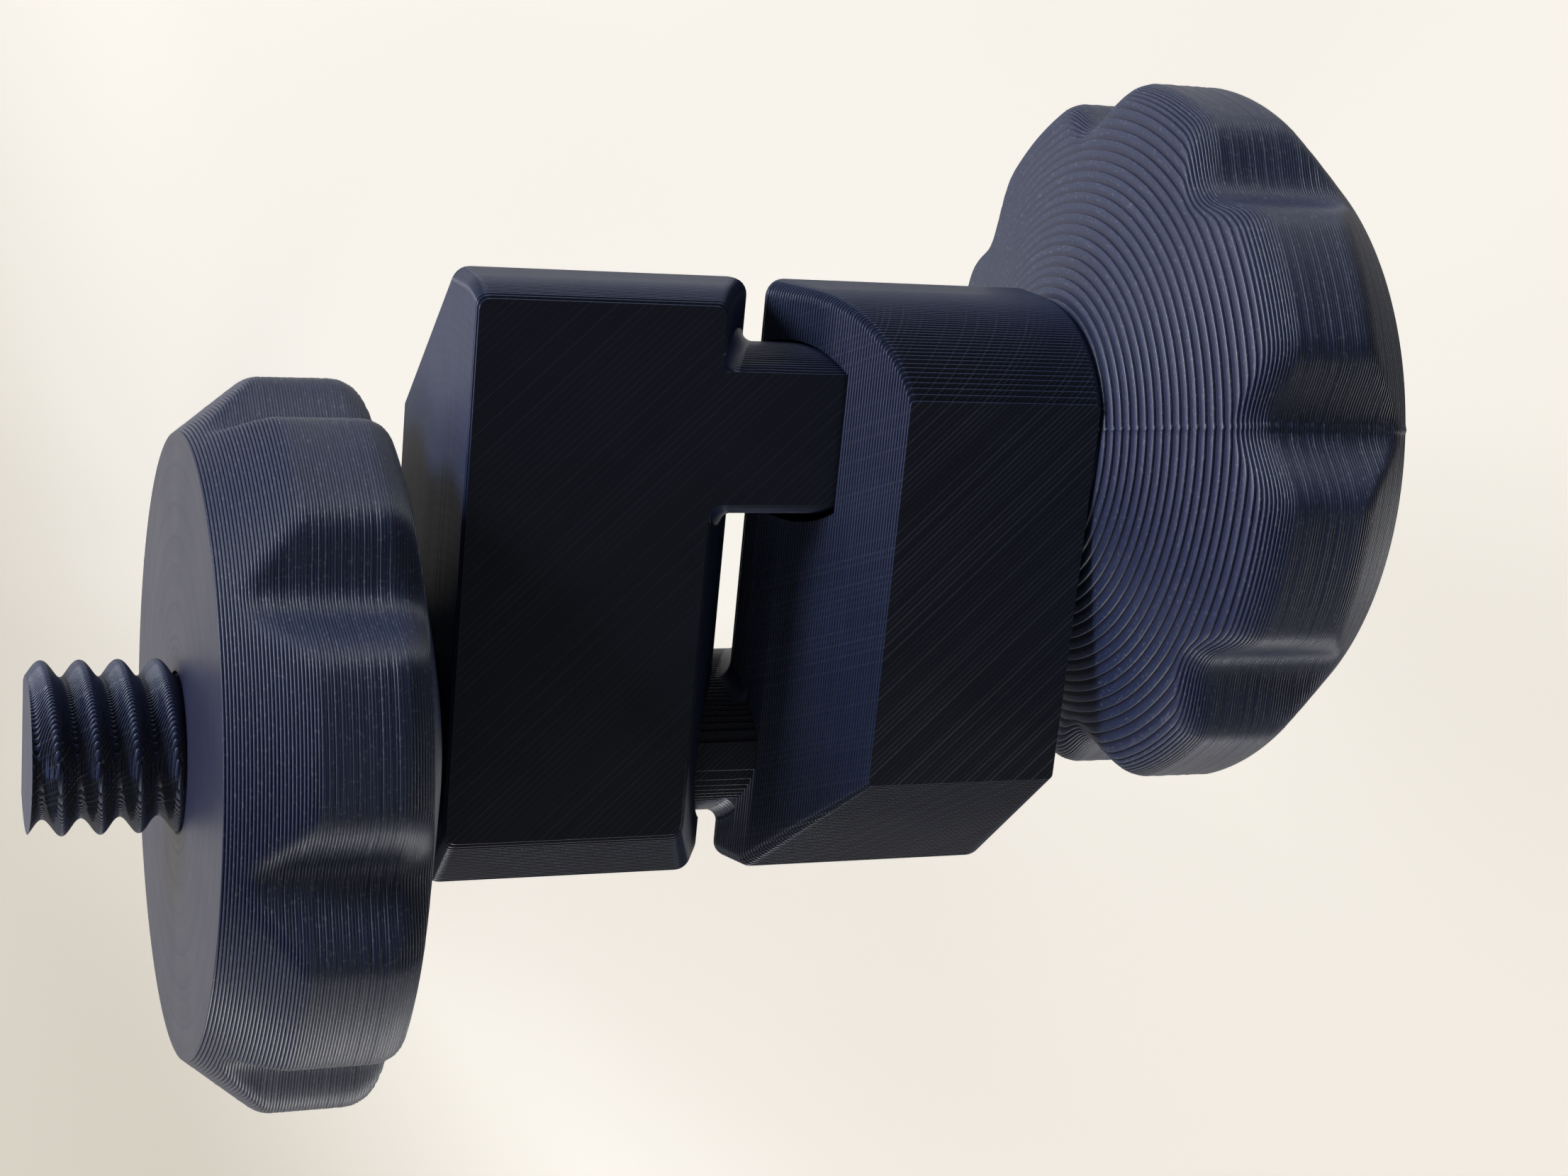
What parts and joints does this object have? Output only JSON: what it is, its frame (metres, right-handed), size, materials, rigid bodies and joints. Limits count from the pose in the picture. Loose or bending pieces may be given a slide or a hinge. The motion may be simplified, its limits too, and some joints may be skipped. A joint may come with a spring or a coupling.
{
  "type": "tubing pinch clamp",
  "caption": "Screw-operated pinch clamp for soft tubing: jaws with V-shaped pinching edges slide on D-shaped threaded studs and are drawn together by lobed hand knobs.",
  "frame": {"origin": "middle of the pinch: halfway between the two pinching edges and halfway between the two stud axes", "axes": "+X along the studs towards the right jaw, +Y along the pinching edges towards the upper stud, +Z square to the flat sides of the jaws, towards the deep side of the right jaw"},
  "size_m": [0.0946, 0.0736, 0.0556],
  "materials": {
    "jaw_plastic": "satin, with fine layer lines across Z",
    "knob_plastic": "satin, with fine layer lines across the knob's axis"
  },
  "bodies": {
    "left_jaw": {"left_jaw": "jaw_plastic"},
    "right_jaw": {"right_jaw": "jaw_plastic"},
    "left_knob": {"left_knob": "knob_plastic"},
    "right_knob": {"right_knob": "knob_plastic"}
  },
  "joints": [
    {"name": "jaw_slide", "type": "slide", "parent": "left_jaw", "child": "right_jaw", "axis": [1, 0, 0], "range_m": [-0.00105, 0.0095]},
    {"name": "left_knob_turn", "type": "hinge", "parent": "left_jaw", "child": "left_knob", "pos_m": [-0.0295, -0.012, -0.003], "axis": [1, 0, 0], "range_deg": [-1375, 192]},
    {"name": "right_knob_turn", "type": "hinge", "parent": "right_jaw", "child": "right_knob", "pos_m": [0.0295, 0.012, 0.003], "axis": [1, 0, 0], "range_deg": [-192, 1375]}
  ],
  "couplings": [
    {"joint": "left_knob_turn", "follows": "jaw_slide", "rad_per_m": -2513.3},
    {"joint": "right_knob_turn", "follows": "jaw_slide", "rad_per_m": 2513.3}
  ]
}
